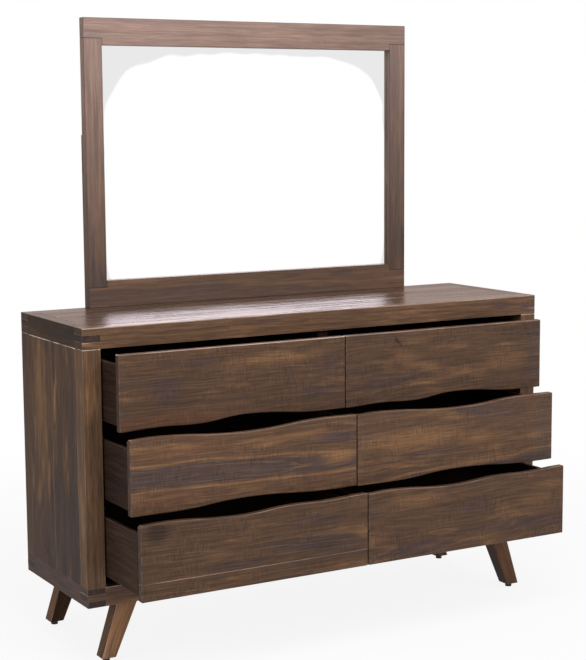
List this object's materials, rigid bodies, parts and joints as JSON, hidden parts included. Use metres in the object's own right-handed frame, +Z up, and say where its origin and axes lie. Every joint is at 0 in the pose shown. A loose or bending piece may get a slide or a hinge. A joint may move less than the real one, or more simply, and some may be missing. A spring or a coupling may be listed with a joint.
{
  "type": "dresser with mirror",
  "caption": "Wide chest of drawers on splayed legs, with live-edge pull fronts, box-jointed frames and a framed mirror standing on top.",
  "frame": {"origin": "on the floor, under the middle of the whole piece as it stands with its drawers drawn out, 100.75 mm in front of the middle of the case", "axes": "+Z up, +X along the width to the right as seen from the front, +Y from the drawers towards the back; the drawers open towards -Y"},
  "size_m": [1.524, 0.7034, 1.783],
  "materials": {
    "wood_case": "satin dark walnut stain on solid wood with fine saw marks",
    "wood_fronts": "satin dark walnut stain on thick sawn planks, edges rubbed lighter",
    "wood_drawer_box": "smooth dark stain",
    "wood_mirror_frame": "satin dark walnut stain, greyer than the case",
    "back_board": "dark stained plywood",
    "slide_steel": "bright zinc plate",
    "bolt_steel": "dull zinc plate",
    "glide_plastic": "black moulded plastic",
    "mirror_glass": "silvered plain glass"
  },
  "bodies": {
    "case": {"top_front_rail": "wood_case", "top_back_rail": "wood_case", "top_side_rails": "wood_case", "top_panel": "wood_case", "bottom_front_rail": "wood_case", "bottom_back_rail": "wood_case", "bottom_side_rails": "wood_case", "bottom_panel": "wood_case", "front_left_post": "wood_case", "front_right_post": "wood_case", "back_left_post": "wood_case", "back_right_post": "wood_case", "side_panels": "wood_case", "centre_divider": "wood_case", "slide_cleats": "wood_case", "front_left_leg": "wood_case", "front_right_leg": "wood_case", "back_left_leg": "wood_case", "back_right_leg": "wood_case", "mirror_struts": "wood_case", "mirror_top_rail": "wood_mirror_frame", "mirror_bottom_rail": "wood_mirror_frame", "mirror_stiles": "wood_mirror_frame", "back_panel": "back_board", "mirror_backing": "back_board", "case_slide_rails": "slide_steel", "leg_bolts": "bolt_steel", "strut_screws": "bolt_steel", "leg_glides": "glide_plastic", "mirror_glass": "mirror_glass"},
    "top_left_drawer": {"top_left_drawer_front": "wood_fronts", "top_left_drawer_sides": "wood_drawer_box", "top_left_drawer_back": "wood_drawer_box", "top_left_drawer_bottom": "back_board", "top_left_drawer_slides": "slide_steel"},
    "top_right_drawer": {"top_right_drawer_front": "wood_fronts", "top_right_drawer_sides": "wood_drawer_box", "top_right_drawer_back": "wood_drawer_box", "top_right_drawer_bottom": "back_board", "top_right_drawer_slides": "slide_steel"},
    "middle_left_drawer": {"middle_left_drawer_front": "wood_fronts", "middle_left_drawer_sides": "wood_drawer_box", "middle_left_drawer_back": "wood_drawer_box", "middle_left_drawer_bottom": "back_board", "middle_left_drawer_slides": "slide_steel"},
    "middle_right_drawer": {"middle_right_drawer_front": "wood_fronts", "middle_right_drawer_sides": "wood_drawer_box", "middle_right_drawer_back": "wood_drawer_box", "middle_right_drawer_bottom": "back_board", "middle_right_drawer_slides": "slide_steel"},
    "bottom_left_drawer": {"bottom_left_drawer_front": "wood_fronts", "bottom_left_drawer_sides": "wood_drawer_box", "bottom_left_drawer_back": "wood_drawer_box", "bottom_left_drawer_bottom": "back_board", "bottom_left_drawer_slides": "slide_steel"},
    "bottom_right_drawer": {"bottom_right_drawer_front": "wood_fronts", "bottom_right_drawer_sides": "wood_drawer_box", "bottom_right_drawer_back": "wood_drawer_box", "bottom_right_drawer_bottom": "back_board", "bottom_right_drawer_slides": "slide_steel"}
  },
  "joints": [
    {"name": "top_left_drawer_slide", "type": "slide", "parent": "case", "child": "top_left_drawer", "axis": [0, -1, 0], "range_m": [-0.104, 0.196]},
    {"name": "top_right_drawer_slide", "type": "slide", "parent": "case", "child": "top_right_drawer", "axis": [0, -1, 0], "range_m": [-0.104, 0.196]},
    {"name": "middle_left_drawer_slide", "type": "slide", "parent": "case", "child": "middle_left_drawer", "axis": [0, -1, 0], "range_m": [-0.166, 0.134]},
    {"name": "middle_right_drawer_slide", "type": "slide", "parent": "case", "child": "middle_right_drawer", "axis": [0, -1, 0], "range_m": [-0.166, 0.134]},
    {"name": "bottom_left_drawer_slide", "type": "slide", "parent": "case", "child": "bottom_left_drawer", "axis": [0, -1, 0], "range_m": [-0.224, 0.076]},
    {"name": "bottom_right_drawer_slide", "type": "slide", "parent": "case", "child": "bottom_right_drawer", "axis": [0, -1, 0], "range_m": [-0.224, 0.076]}
  ]
}
